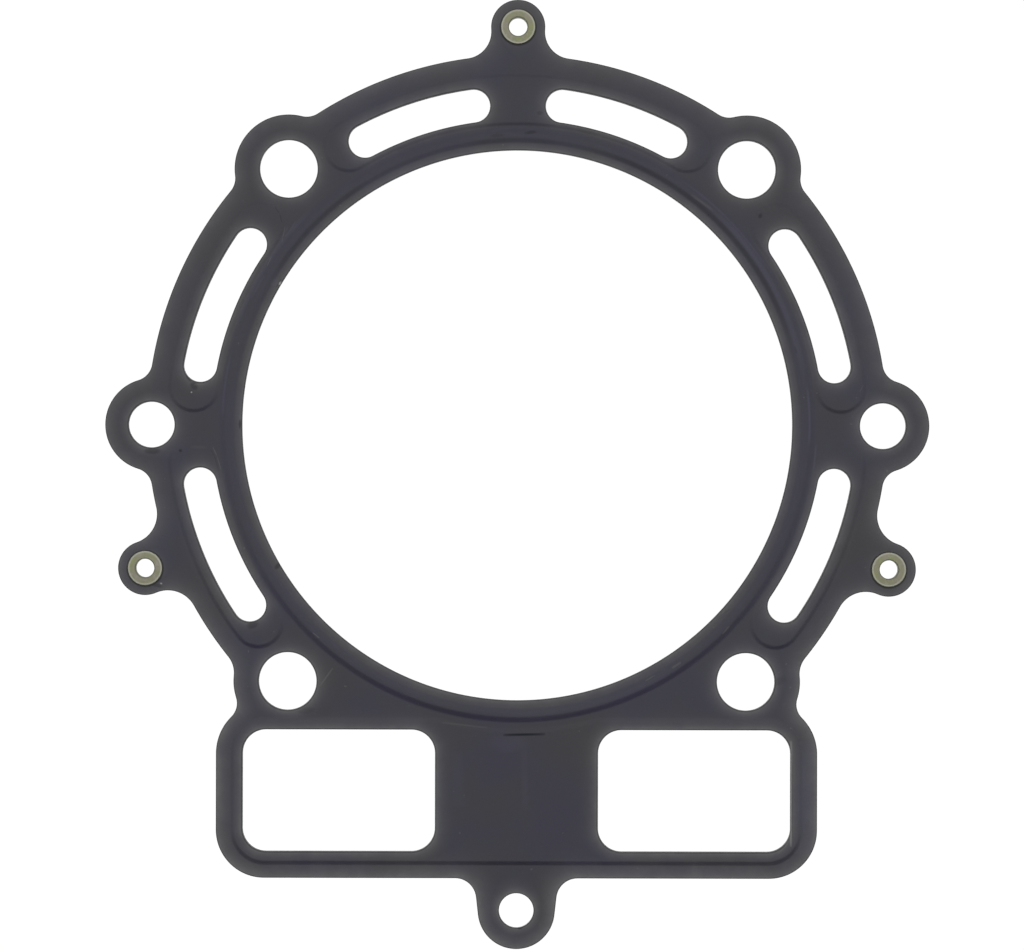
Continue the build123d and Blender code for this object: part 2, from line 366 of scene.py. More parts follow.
def segmentDistance(points, loops):
    # Distance from each point to the nearest of some closed loops, in slices to save memory
    starts = np.concatenate([np.array(loop) for loop in loops]).astype(np.float32)
    ends = np.concatenate([np.roll(np.array(loop), -1, 0) for loop in loops]).astype(np.float32)
    along = ends - starts
    squared = np.maximum((along ** 2).sum(1), 1e-12)
    nearest = np.empty(len(points), np.float32)
    sliceSize = 1500
    for first in range(0, len(points), sliceSize):
        part = points[first:first + sliceSize].astype(np.float32)
        dx = part[:, None, 0] - starts[None, :, 0]
        dy = part[:, None, 1] - starts[None, :, 1]
        share = np.clip((dx * along[:, 0] + dy * along[:, 1]) / squared, 0, 1)
        dx -= share * along[:, 0]
        dy -= share * along[:, 1]
        nearest[first:first + sliceSize] = np.sqrt((dx * dx + dy * dy).min(1))
    return nearest


def insideLoop(points, loop):
    # Which points a closed loop holds, by counting crossings
    corners = np.array(loop)
    held = np.zeros(len(points), bool)
    low, high = corners.min(0), corners.max(0)
    near = np.flatnonzero(((points >= low) & (points <= high)).all(1))
    x, y = points[near, 0], points[near, 1]
    crossed = np.zeros(len(near), bool)
    for (x1, y1), (x2, y2) in zip(corners, np.roll(corners, -1, 0)):
        if y1 != y2:
            spans = (y1 > y) != (y2 > y)
            crossed ^= spans & (x < (x2 - x1) * (y - y1) / (y2 - y1) + x1)
    held[near] = crossed
    return held


# How finely a sheet is meshed, and how the punch rounds its upper edges and breaks its lower ones
meshing = {
    "edgeSpacing": 0.5,
    "upperRound": 0.07,
    "upperSteps": 3,
    "lowerRound": 0.035,
    "lowerSteps": 1,
    "settle": 0.10,                  # past a bend, to keep the flats' shading flat
    "grid": 0.95,
    "gridClearance": 0.30,
    "nearRings": (0.35, 0.8),        # extra points beside every edge, for the edge's tone
    "flankSteps": 7,
    "hiddenFlankSteps": 3,
    "bend": 0.24,                    # length of the bends at a flank's ends
}


def edgeDrop(edgeDistance, rounding):
    # How far a rounded edge lies below the flat, by the distance from the cut
    depth = np.clip(edgeDistance / rounding, 0, 1)
    return rounding * (1 - np.sqrt(np.clip(1 - (1 - depth) ** 2, 0, 1)))


def flatSheet(holes, bends, detailed):
    # Flat triangulated sheet as (points, triangles, cuts, cutLoops): a cut lists the points
    # along one edge, and a cutLoop gives that edge's places
    spacing = meshing["edgeSpacing"]
    side = "upper" if detailed else "lower"
    rounding, steps = meshing[side + "Round"], meshing[side + "Steps"]
    edges = [(outlineRounds(sheetShape), -1)] + [(rounds, 1) for rounds in holes]
    depths = [rounding * (1 - math.cos(math.pi / 2 * k / steps)) for k in range(1, steps + 1)]
    depths += [rounding + meshing["settle"]] if detailed else []
    points, lines, cuts = [], [], []

    def addLoop(loop):
        first = len(points)
        points.extend(loop)
        count = len(loop)
        lines.extend((first + k, first + (k + 1) % count) for k in range(count))
        return list(range(first, first + count))

    for rounds, _ in edges:
        cuts.append(addLoop(chainLoop(rounds, 0.0, spacing)))
    cutLoops = [[points[i] for i in cut] for cut in cuts]
    for depth in depths:
        for rounds, inwards in edges:
            addLoop(chainLoop(rounds, inwards * depth, spacing))
    for rounds, grow in bends:
        addLoop(chainLoop(rounds, grow, spacing))
    if detailed:
        tree = KDTree(len(points))
        for index, point in enumerate(points):
            tree.insert((*point, 0), index)
        tree.balance()
        extra = [point for distance in meshing["nearRings"] for rounds, inwards in edges
                 for point in chainLoop(rounds, inwards * distance, meshing["grid"])]
        extra += hexGrid(points, meshing["grid"])
        kept = [point for point in extra
                if tree.find((*point, 0))[2] > meshing["gridClearance"]]
        places = np.array(kept)
        held = insideLoop(places, cutLoops[0])
        for loop in cutLoops[1:]:
            held &= ~insideLoop(places, loop)
        points.extend(kept[i] for i in np.flatnonzero(held))
    made = delaunay_2d_cdt(points, lines, [], 0, 1e-6)
    flat = np.array([tuple(point) for point in made[0]])
    triangles = np.array(made[2])
    middles = flat[triangles].mean(1)
    held = insideLoop(middles, cutLoops[0])
    for loop in cutLoops[1:]:
        held &= ~insideLoop(middles, loop)
    newIndex = {old: new for new, olds in enumerate(made[3]) for old in olds}
    cuts = [[newIndex[i] for i in cut] for cut in cuts]
    return flat, triangles[held], cuts, cutLoops


def hexGrid(points, spacing):
    low, high = np.array(points).min(0), np.array(points).max(0)
    rowHeight = spacing * math.sqrt(3) / 2
    rows = math.ceil((high[1] - low[1]) / rowHeight)
    columns = math.ceil((high[0] - low[0]) / spacing)
    return [(low[0] + (column + row % 2 / 2) * spacing, low[1] + row * rowHeight)
            for row in range(rows) for column in range(columns)]


def beadLines(count):
    # The press lines as (rounds, growth): circles across the full bead, and offsets of
    # every half bead's middle line. A line just past the outer bends keeps the flats flat.
    b, settle, bend = beadShape, meshing["settle"], meshing["bend"]
    lines = []
    starts = (b["foot"], b["foot"] + b["flank"] + b["crown"])
    for start in starts:
        for k in range(count + 1):
            offset = start - bend / 2 + (b["flank"] + bend) * k / count
            lines.append(([(0, 0, sheetShape["boreRadius"])], offset))
    lines.append(([(0, 0, sheetShape["boreRadius"])], starts[0] - bend / 2 - settle))
    lines.append(([(0, 0, sheetShape["boreRadius"])], starts[1] + b["flank"] + bend / 2 + settle))
    reach = b["halfStep"] / 2 + bend / 2
    for rounds in halfBeadRounds(sheetShape, b):
        for k in range(count + 1):
            lines.append((rounds, -reach + 2 * reach * k / count))
        lines.append((rounds, reach + settle))
        lines.append((rounds, -reach - settle))
    return lines


def sheetObject(name, holes, bends, thickness):
    # Closed sheet from z = 0 up, its edges rounded, with what the press and the finish need
    # to know at each point: distances from the cuts, the outer rim and the half beads
    upper, upperFaces, upperCuts, cutLoops = flatSheet(holes, bends(meshing["flankSteps"]), True)
    lower, lowerFaces, lowerCuts, _ = flatSheet(
        holes, bends(meshing["hiddenFlankSteps"]), False)
    flat = np.concatenate([upper, lower])
    edgeDistance = segmentDistance(flat, cutLoops)
    rimDistance = segmentDistance(flat, cutLoops[:1])
    for side, cuts in ((0, upperCuts), (len(upper), lowerCuts)):
        for cut in cuts:
            edgeDistance[np.array(cut) + side] = 0.0
    middleLines = [chainLoop(rounds) for rounds in halfBeadRounds(sheetShape, beadShape)]
    halfBead = -segmentDistance(flat, middleLines)
    for loop in middleLines:
        halfBead[insideLoop(flat, loop)] *= -1
    heights = np.concatenate([
        thickness - edgeDrop(edgeDistance[:len(upper)], meshing["upperRound"]),
        edgeDrop(edgeDistance[len(upper):], meshing["lowerRound"])])
    verts = [(x * mm, y * mm, z * mm) for (x, y), z in zip(flat, heights)]
    faces = [tuple(face) for face in upperFaces]
    faces += [tuple(face[::-1] + len(upper)) for face in lowerFaces]
    wallStart = len(faces)
    for top, bottom in zip(upperCuts, lowerCuts):
        outer = top is upperCuts[0]
        for k in range(len(top)):
            n = (k + 1) % len(top)
            wall = (top[k], top[n], bottom[n] + len(upper), bottom[k] + len(upper))
            faces.append(wall if outer else wall[::-1])
    data = bpy.data.meshes.new(name)
    data.from_pydata(verts, [], faces)
    for key, values in (("edgeDistance", edgeDistance), ("rimDistance", rimDistance),
                        ("halfBead", halfBead)):
        data.attributes.new(key, "FLOAT", "POINT").data.foreach_set("value", values)
    cutEdge = np.arange(len(faces)) >= wallStart
    data.attributes.new("cutEdge", "BOOLEAN", "FACE").data.foreach_set("value", cutEdge)
    sheet = bpy.data.objects.new(name, data)
    bpy.context.scene.collection.objects.link(sheet)
    return sheet


def newTree(name, inputs):
    # Geometry tree with one geometry input and named inputs (name, socket type, default)
    tree = bpy.data.node_groups.new(name, "GeometryNodeTree")
    tree.interface.new_socket("Geometry", in_out="INPUT", socket_type="NodeSocketGeometry")
    for label, kind, default in inputs:
        socket = tree.interface.new_socket(label, in_out="INPUT", socket_type=kind)
        if default is not None:
            socket.default_value = default
    tree.interface.new_socket("Geometry", in_out="OUTPUT", socket_type="NodeSocketGeometry")
    graph = Graph(tree)
    source = graph.node("NodeGroupInput")
    given = {output.name: Sig(graph, output) for output in source.outputs if output.name}
    return graph, given


def closeTree(graph, geometry):
    target = graph.node("NodeGroupOutput")
    graph.tree.links.new(geometry.socket, target.inputs[0])
    return graph.tree


def runTree(piece, tree, values):
    # Runs a tree on a piece and keeps the result as its plain mesh
    modifier = piece.modifiers.new(tree.name, "NODES")
    modifier.node_group = tree
    for item in tree.interface.items_tree:
        if item.in_out == "INPUT" and item.name in values:
            modifier[item.identifier] = values[item.name]
    graph = bpy.context.evaluated_depsgraph_get()
    made = bpy.data.meshes.new_from_object(piece.evaluated_get(graph),
                                           preserve_all_data_layers=True, depsgraph=graph)
    piece.modifiers.remove(modifier)
    spare = piece.data
    piece.data = made
    bpy.data.meshes.remove(spare)
    made.name = piece.name
    made.set_sharp_from_angle(angle=math.radians(sharpAngle))


def softRise(distance, width, bend):
    # Height from 0 to 1 over a flank, with a round bend at its foot and at its crest
    def area(share):
        inside = share.unit()
        return inside * inside * 0.5 + (share - 1.0).above(0.0)
    ahead = area((distance + bend * 0.5) / width)
    behind = area((distance - bend * 0.5) / width)
    return (ahead - behind) * width / bend


def pressTree():
    # Forms the beads in a flat sheet, turns it over if asked, and lifts it to its level
    graph, given = newTree("press beads", [
        ("Full bead height", "NodeSocketFloat", 0.22),
        ("Half bead height", "NodeSocketFloat", 0.18),
        ("Full bead foot", "NodeSocketFloat", 52.05), ("Flank", "NodeSocketFloat", 1.0),
        ("Crown", "NodeSocketFloat", 0.75), ("Half step", "NodeSocketFloat", 0.7),
        ("Bend", "NodeSocketFloat", 0.2), ("Level", "NodeSocketFloat", 0.0),
        ("Turned over", "NodeSocketBool", False), ("Face", "NodeSocketMaterial", None),
        ("Cut edge", "NodeSocketMaterial", None)])
    place = graph.value("GeometryNodeInputPosition")
    split = graph.node("ShaderNodeSeparateXYZ", sockets={0: place})
    x, y = Sig(graph, split.outputs[0]), Sig(graph, split.outputs[1])
    reach = (x * x + y * y) ** 0.5 / mm - given["Full bead foot"]
    full = (softRise(reach, given["Flank"], given["Bend"])
            - softRise(reach - given["Flank"] - given["Crown"], given["Flank"], given["Bend"]))
    inside = graph.value("GeometryNodeInputNamedAttribute", {"data_type": "FLOAT"},
                         {"Name": "halfBead"}, "Attribute")
    half = softRise(inside + given["Half step"] * 0.5, given["Half step"], given["Bend"])
    height = (full * given["Full bead height"] + half * given["Half bead height"]) * mm
    offset = graph.value("ShaderNodeCombineXYZ", sockets={2: height})
    formed = graph.value("GeometryNodeSetPosition", sockets={0: given["Geometry"], 3: offset})
    mirrored = graph.value("GeometryNodeTransform", sockets={
        "Geometry": formed, "Scale": (1.0, 1.0, -1.0)})
    flipped = graph.value("GeometryNodeFlipFaces", sockets={0: mirrored})
    turned = graph.value("GeometryNodeSwitch", {"input_type": "GEOMETRY"}, {
        "Switch": given["Turned over"], "False": formed, "True": flipped})
    lift = graph.value("ShaderNodeCombineXYZ", sockets={2: given["Level"] * mm})
    lifted = graph.value("GeometryNodeSetPosition", sockets={0: turned, 3: lift})
    smooth = graph.value("GeometryNodeSetShadeSmooth", sockets={0: lifted})
    real = graph.value("GeometryNodeRealizeInstances", sockets={0: smooth})
    faced = graph.value("GeometryNodeSetMaterial", sockets={
        "Geometry": real, "Material": given["Face"]})
    isCut = graph.value("GeometryNodeInputNamedAttribute", {"data_type": "BOOLEAN"},
                        {"Name": "cutEdge"}, "Attribute")
    return closeTree(graph, graph.value("GeometryNodeSetMaterial", sockets={
        "Geometry": faced, "Selection": isCut, "Material": given["Cut edge"]}))


def spinTree():
    # Turns a closed profile (X outwards, Z up) round its axis, and puts it at its centre
    graph, given = newTree("spin profile", [
        ("Points", "NodeSocketInt", 8), ("Steps", "NodeSocketInt", 96),
        ("Centre X", "NodeSocketFloat", 0.0), ("Centre Y", "NodeSocketFloat", 0.0),
        ("Metal", "NodeSocketMaterial", None)])
    grid = graph.value("GeometryNodeMeshGrid", sockets={
        "Vertices X": given["Points"] + 1, "Vertices Y": given["Steps"] + 1})
    index = graph.value("GeometryNodeInputIndex")
    around = given["Steps"] + 1
    row = (index / around).math("FLOOR")
    turn = (index - row * around) / given["Steps"] * (2 * math.pi)
    corner = row.math("MODULO", given["Points"])
    place = graph.value("GeometryNodeInputPosition")
    sample = graph.value("GeometryNodeSampleIndex", {"data_type": "FLOAT_VECTOR"}, {
        "Geometry": given["Geometry"], "Value": place, "Index": corner})
    split = graph.node("ShaderNodeSeparateXYZ", sockets={0: sample})
    radius, height = Sig(graph, split.outputs[0]), Sig(graph, split.outputs[2])
    spun = graph.value("ShaderNodeCombineXYZ", sockets={
        0: radius * turn.math("COSINE") + given["Centre X"] * mm,
        1: radius * turn.math("SINE") + given["Centre Y"] * mm, 2: height})
    skin = graph.value("GeometryNodeSetPosition", sockets={"Geometry": grid, "Position": spun})
    kept = graph.value("GeometryNodeStoreNamedAttribute",
                       {"data_type": "FLOAT", "domain": "POINT"},
                       {"Geometry": skin, "Name": "spinRadius", "Value": radius / mm})
    closed = graph.value("GeometryNodeMergeByDistance", sockets={
        "Geometry": kept, "Distance": 0.001 * mm})
    smooth = graph.value("GeometryNodeSetShadeSmooth", sockets={0: closed})
    real = graph.value("GeometryNodeRealizeInstances", sockets={0: smooth})
    return closeTree(graph, graph.value("GeometryNodeSetMaterial", sockets={
        "Geometry": real, "Material": given["Metal"]}))


def shaderGraph(name):
    material = bpy.data.materials.new(name)
    material.use_nodes = True
    material.node_tree.nodes.clear()
    return material, Graph(material.node_tree)


def finishShader(graph, sockets):
    shader = graph.node("ShaderNodeBsdfPrincipled", sockets=sockets)
    output = graph.node("ShaderNodeOutputMaterial")
    graph.tree.links.new(shader.outputs[0], output.inputs[0])


def noise(graph, place, scale, detail=2.0, roughness=0.5):
    return graph.value("ShaderNodeTexNoise", {"noise_dimensions": "3D"}, {
        "Vector": place, "Scale": scale, "Detail": detail, "Roughness": roughness})


def bump(graph, height, strength, distance):
    return graph.value("ShaderNodeBump", sockets={
        "Height": height, "Strength": strength, "Distance": distance})


reliefDepth = 0.02 * mm          # how deep the finishes' fine relief is


def attribute(graph, name):
    return graph.value("ShaderNodeAttribute", {"attribute_name": name}, output="Fac")


# The black rubber coating of the sealing sheets
coating = {
    "base": tone(60, 58, 67),
    "cool": tone(57, 55, 76),
    "warm": tone(63, 61, 66),
    "edgePale": tone(118, 117, 119),
    "cutDark": tone(30, 30, 33),
    "dust": tone(118, 118, 116),
    "roughness": 0.35,
    "cloudScale": 55.0,
    "driftScale": 17.0,
    "mottleScale": 420.0,
    "grainScale": 2300.0,
    "rubScale": 300.0,
    "dustScale": 900.0,
    "streakAround": 9.0,             # streaks along the bead, long round the bore: a bluish tint and painted sheen
    "streakAcross": 1.5,
    "mottleShade": 0.16,
    "grainShade": 0.10,
    "cutDarkFrom": 0.26,             # painted shade along a cut, in millimetres
    "cutDarkTo": 0.05,
    "sheenMark": tone(92, 92, 116),
    "darkMark": tone(29, 28, 37),
    "deepMark": tone(9, 9, 34),
    "paleMark": tone(118, 118, 116),
    "chipMark": tone(215, 215, 214),
    "paleDepth": 0.95,               # how far the paler edges reach in, in millimetres
    "rimDepth": 1.45,                # the same along the outer rim
    "rubFrom": -25.0,                # the edges are paler from here in Y
    "rubTo": -62.0,                  # to here
    "gripStart": 3.25,               # painted contact shadow round an eyelet's head
    "gripEnd": 3.58,
    # moves the painted shadow's middle towards -Y, away from the soft box
    "gripShift": 0.11,
    "gripDark": tone(14, 13, 8),
    "beadHides": 0.55,               # how much fainter the pale edges are on the bead
    "relief": 0.25,
}
# How much rougher each kind of mark is than the coating
markRoughness = {"sheen": 0.0, "dark": 0.15, "deep": 0.3, "pale": -0.08, "chip": 0.2}

# Marks on the upper sheet, in millimetres and degrees: colour marks, painted sheen, and painted
# shade, shadow and highlight where noted. Lines are (x, y, x, y, half width, how much), spots (x,
# y, radius along, radius across, turn, how much) and arcs (x, y, radius, half width, middle
# angle, half sweep, how much).
marksAndPaintedLight = {
    "darkLines": [
        (50.88, -62.0, 50.9, -76.0, 0.16, 0.45), (37.1, -35.3, 39.6, -33.6, 0.1, 0.3),
        (-44.8, 40.2, -43.9, 38.9, 0.13, 0.45), (-43.9, 38.9, -43.5, 37.3, 0.13, 0.45),
        (-56.6, -4.6, -55.9, -5.6, 0.13, 0.4), (-55.9, -5.6, -55.0, -8.6, 0.13, 0.35),
        # (-60.1, 7.8) to (-57.6, 7.9) is painted shadow under the upper left slot's lower end
        (-43.6, 26.9, -44.6, 25.2, 0.13, 0.6), (-60.1, 7.8, -57.6, 7.9, 0.16, 0.6)],
    "deepLines": [
        (-2.5, -57.1, 5.3, -56.93, 0.34, 1.0)],
    "paleLines": [
        (-36.4, -48.3, -33.9, -44.8, 0.2, 0.45), (-37.6, -38.3, -36.4, -39.3, 0.12, 0.5),
        # (-13.9, -54.8) to (-5.3, -55.8) is a painted highlight on the half bead's step over the
        # bridge, which faces the soft box
        (-13.9, -54.8, -5.3, -55.8, 0.25, 0.16), (-66.0, -29.2, -65.3, -29.5, 0.15, 0.5),
        (-56.1, -4.2, -55.4, -5.7, 0.12, 0.4),
        # (-60.3, -4.1) to (-57.2, -4.2) is a painted highlight on a half bead step facing the
        # soft box, above the lower left slot
        (-55.4, -5.7, -54.6, -8.4, 0.12, 0.35), (-60.3, -4.1, -57.2, -4.2, 0.4, 0.1),
        (32.0, 42.6, 36.0, 39.7, 0.35, 0.22), (-42.9, 36.7, -43.5, 33.6, 0.1, 0.35),
        (-45.4, 31.0, -46.2, 29.3, 0.1, 0.4), (37.9, -38.4, 39.2, -36.9, 0.22, 0.35),
        # (28.6, -44.7) and (23.7, -47.1) are painted sheen on the full bead's inner flank, which
        # faces the soft box
        (28.6, -44.7, 30.3, -43.6, 0.3, 0.32), (23.7, -47.1, 25.5, -46.0, 0.15, 0.3),
        (50.45, -75.9, 49.45, -77.8, 0.22, 0.55), (49.5, -77.7, 48.2, -78.9, 0.2, 0.45),
        (-59.7, 7.35, -57.9, 7.45, 0.15, 0.45), (-51.8, -20.1, -50.7, -23.1, 0.12, 0.3)],
    "darkSpots": [
        # (-59.62, 7.15) and (-60.6, 8.4) are painted shadow under the upper left slot's lower end
        (-62.1, -4.8, 0.33, 0.3, 0, 0.95), (-59.62, 7.15, 0.85, 0.6, -50, 0.55),
        (-60.6, 8.4, 0.8, 0.25, -50, 0.45),
        (-67.3, -4.9, 1.5, 0.6, 0, 0.55), (-44.1, -26.0, 0.8, 0.45, 50, 0.6),
        (2.3, 54.0, 1.15, 0.32, 8, 0.6), (-3.8, 53.4, 1.3, 0.4, 5, 0.35),
        (4.0, 57.6, 0.6, 0.4, 0, 0.3), (44.7, 38.7, 0.5, 0.38, 60, 0.75),
        # (-48.7, -36.9) is painted shadow under the lower left slot's lower end
        (-48.7, -36.9, 1.1, 0.7, 20, 0.5), (48.4, -47.1, 1.3, 0.7, 30, 0.22),
        (-38.8, -52.7, 1.6, 0.6, 8, 0.25), (38.9, -56.2, 0.3, 0.16, 0, 0.6),
        (40.2, -56.2, 0.36, 0.18, 0, 0.6), (-66.2, -28.6, 0.75, 0.35, 35, 0.65),
        (-66.6, -29.6, 1.3, 0.35, -15, 0.45), (-51.15, 0.1, 0.9, 0.25, 90, 0.6),
        (0.6, -92.7, 0.45, 0.22, 0, 0.8), (35.2, 38.9, 0.2, 0.17, 0, 0.8),
        (51.3, 14.0, 0.8, 0.2, -70, 0.3)],
    "paleSpots": [
        (32.9, -82.0, 1.6, 0.6, 90, 0.1)],
    # the dark arcs are painted shade on the full bead's inner flank, on the upper side, which
    # faces away from the soft box
    "darkArcs": [
        (0.0, 0.0, 52.7, 0.75, 46, 33, 0.44), (0.0, 0.0, 52.7, 0.7, 135, 15, 0.3),
        (0.0, 0.0, 52.6, 0.9, 91, 10, 0.22)],
    "paleArcs": [
        (-42.25, 47.25, 5.52, 0.15, 122, 56, 0.55)],
    "sheenArcs": [
        (0.0, 0.0, 53.6, 0.85, 29, 22, 0.26), (0.0, 0.0, 54.35, 0.3, 44, 13, 0.22),
        (0.0, 0.0, 53.5, 1.0, -75, 22, 0.12), (0.0, 0.0, 55.0, 0.6, 148, 16, 0.2),
        (0.0, 0.0, 53.9, 0.35, 2, 7, 0.35), (0.0, 0.0, 55.2, 0.25, -6, 3, 0.3),
        (0.0, 0.0, 55.6, 0.3, -27, 7, 0.25), (0.0, 0.0, 54.4, 0.35, 172, 7, 0.25)],
    "sheenLines": [
        (-42.4, 36.6, -46.3, 29.4, 0.3, 0.32), (-40.9, 37.6, -43.5, 33.6, 0.18, 0.35),
        (45.0, 33.2, 48.6, 28.4, 0.25, 0.3), (-46.8, 27.6, -49.2, 23.2, 0.35, 0.22),
        (53.2, -58.0, 53.2, -79.0, 2.4, 0.34), (14.0, -82.3, 46.0, -82.3, 1.3, 0.15),
        (1.4, -58.5, 1.6, -71.0, 0.9, 0.1), (-11.0, -60.0, -10.6, -70.5, 1.6, 0.09),
        (45.5, 28.0, 47.0, 25.8, 0.16, 0.35), (63.1, 6.3, 63.8, 7.6, 0.16, 0.35),
        (50.8, 16.4, 51.0, 15.6, 0.18, 0.3)],
    "sheenSpots": [
        (-44.8, 26.3, 0.8, 0.5, 60, 0.25), (-1.5, -58.6, 3.4, 1.7, 0, 0.14)],
    "chipLines": [
        (50.6, -58.0, 50.6, -77.6, 0.3, 0.42)],
    "chipSpots": [
        (-43.8, 26.1, 0.36, 0.22, 60, 0.6), (-60.08, 5.96, 0.14, 0.14, 0, 0.7),
        (-65.6, -29.3, 0.18, 0.15, 0, 0.6)],
}


def flatFrom(graph, place, x0, y0):
    # X and Y of a place, from a point given in millimetres
    split = graph.node("ShaderNodeSeparateXYZ", sockets={0: place})
    return Sig(graph, split.outputs[0]) - x0 * mm, Sig(graph, split.outputs[1]) - y0 * mm


def lineMask(graph, place, line):
    # 1 on a thin stroke that tapers to its ends, 0 beside it
    x1, y1, x2, y2, halfWidth, amount = line
    bx, by = (x2 - x1) * mm, (y2 - y1) * mm
    x, y = flatFrom(graph, place, x1, y1)
    along = ((x * bx + y * by) / (bx * bx + by * by)).unit()
    dx, dy = x - along * bx, y - along * by
    gap = (dx * dx + dy * dy) ** 0.5 / (halfWidth * mm)
    taper = (along * (1 - along) * 4).unit() ** 0.35
    return gap.fade(1.0, 0.2) * taper * amount


def spotMask(graph, place, spot):
    # 1 in the middle of a soft oval spot
    x0, y0, longWay, shortWay, turn, amount = spot
    cosine, sine = polar(1, turn)
    x, y = flatFrom(graph, place, x0, y0)
    along = (x * cosine + y * sine) / (longWay * mm)
    across = (y * cosine - x * sine) / (shortWay * mm)
    return (along * along + across * across).fade(1.6, 0.1) * amount


def distanceFrom(graph, place, x0, y0):
    # Millimetres from an upright axis
    x, y = flatFrom(graph, place, x0, y0)
    return (x * x + y * y) ** 0.5 / mm


def eyeletShadowMask(graph, place, node):
    # Painted contact shadow: 1 under and close round an eyelet's head, 0 away from it
    x, y = boxCentre(node)
    return distanceFrom(graph, place, x, y - coating["gripShift"]).fade(
        coating["gripEnd"], coating["gripStart"])


def beadMask(graph, place):
    # 1 on the full bead round the bore, 0 beside it
    start = sheetShape["boreRadius"] + beadShape["foot"]
    end = start + 2 * beadShape["flank"] + beadShape["crown"]
    radius = distanceFrom(graph, place, 0.0, 0.0)
    return radius.fade(start - 0.1, start + 0.4) * radius.fade(end + 0.5, end)


def arcMask(graph, place, arc):
    # 1 along part of a circle, fading at its ends and to both sides
    x0, y0, radius, halfWidth, middle, halfSweep, amount = arc
    x, y = flatFrom(graph, place, x0, y0)
    gap = ((x * x + y * y) ** 0.5 / mm - radius).math("ABSOLUTE") / halfWidth
    turn = y.math("ARCTAN2", x) * (180 / math.pi)
    off = (turn - middle).math("ABSOLUTE") / halfSweep
    return gap.fade(1.0, 0.2) * off.fade(1.0, 0.55) * amount


def strongest(masks):
    total = masks[0]
    for mask in masks[1:]:
        total = total.above(mask)
    return total


def coatedSteel(name, marks, shift):
    c = coating
    material, graph = shaderGraph(name)
    place = graph.value("ShaderNodeTexCoord", output="Object")
    moved = graph.value("ShaderNodeMapping", sockets={"Vector": place, "Location": shift})
    edge = attribute(graph, "edgeDistance")
    cloud = noise(graph, moved, c["cloudScale"], 3.0)
    drift = noise(graph, moved, c["driftScale"], 2.0)
    grain = noise(graph, moved, c["grainScale"], 2.0, 0.6)
    mottle = noise(graph, moved, c["mottleScale"], 3.0, 0.6)
    colour = graph.mixColour(cloud.fade(0.38, 0.62), c["base"], c["cool"])
    colour = graph.mixColour(drift.fade(0.45, 0.70) * 0.8, colour, c["warm"])
    shade = 1 + (mottle - 0.5) * c["mottleShade"] + (grain - 0.5) * c["grainShade"]
    colour = graph.mixColour(1.0, colour, graph.value("ShaderNodeCombineColor", sockets={
        0: shade, 1: shade, 2: shade}), "MULTIPLY")
    paleEdgeNoise = noise(graph, moved, c["rubScale"], 2.0).fade(0.25, 0.75) * 0.3 + 0.7
    bead = beadMask(graph, place)
    x, y = (part / mm for part in flatFrom(graph, place, 0.0, 0.0))
    fromAxis = (x * x + y * y) ** 0.5
    around = c["streakAround"]
    drawn = graph.value("ShaderNodeCombineXYZ", sockets={
        0: x / fromAxis * around, 1: y / fromAxis * around, 2: fromAxis * c["streakAcross"]})
    streak = noise(graph, drawn, 1.0, 3.0, 0.6)
    colour = graph.mixColour(bead * (streak * 0.9 + 0.25).unit(), colour, c["cool"])
    # painted sheen along the bead's streaks
    colour = graph.mixColour(bead * streak.fade(0.55, 0.75) * 0.12, colour, c["sheenMark"])
    rim = attribute(graph, "rimDistance")
    low = y.fade(c["rubFrom"], c["rubTo"])
    pale = ((edge / -c["paleDepth"]).math("EXPONENT") * (low * 0.22 + 0.93)).above(
        (rim / -c["rimDepth"]).math("EXPONENT") * (low * 0.50 + 0.78))
    pale = (pale * paleEdgeNoise * (1 - bead * c["beadHides"])).unit()
    colour = graph.mixColour(pale, colour, c["edgePale"])
    # painted shade along every cut edge
    cutLine = edge.fade(c["cutDarkFrom"], c["cutDarkTo"]) * 0.8
    colour = graph.mixColour(cutLine, colour, c["cutDark"])
    dust = noise(graph, moved, c["dustScale"], 1.0).fade(0.76, 0.82) * 0.35
    colour = graph.mixColour(dust, colour, c["dust"])
    # painted contact shadow round the eyelets' heads
    colour = graph.mixColour(strongest([eyeletShadowMask(graph, place, node) for node in eyeletNodes])
                             * 0.95, colour, c["gripDark"])
    roughness = (drift - 0.5) * 0.10 + (mottle - 0.5) * 0.12 + c["roughness"]
    if marks:
        split = graph.node("ShaderNodeSeparateXYZ", sockets={
            0: graph.value("ShaderNodeNewGeometry", output="Normal")})
        facing = Sig(graph, split.outputs[2]).fade(0.2, 0.6)
        for kind, rougher in markRoughness.items():
            mark = strongest([maker(graph, place, values)
                              for shape, maker in (("Lines", lineMask), ("Spots", spotMask),
                                                   ("Arcs", arcMask))
                              for values in marks.get(kind + shape, ())])
            colour = graph.mixColour(mark * facing, colour, c[kind + "Mark"])
            roughness = roughness + mark * rougher
    relief = bump(graph, grain * 0.6 + mottle, c["relief"], reliefDepth)
    finishShader(graph, {"Base Color": colour, "Roughness": roughness, "Normal": relief,
                         "IOR": 1.5})
    return material


# Bare steel where the sheets were punched, and the carrier's rolled faces
steel = {
    "cut": tone(92, 92, 94),
    "cutShade": tone(52, 52, 55),
    "rolled": tone(150, 150, 150),
    "rolledShade": tone(112, 112, 114),
    "streakScale": 11000.0,
    "tornScale": 9000.0,
    "lineScale": 5200.0,
    "cloudScale": 60.0,
}


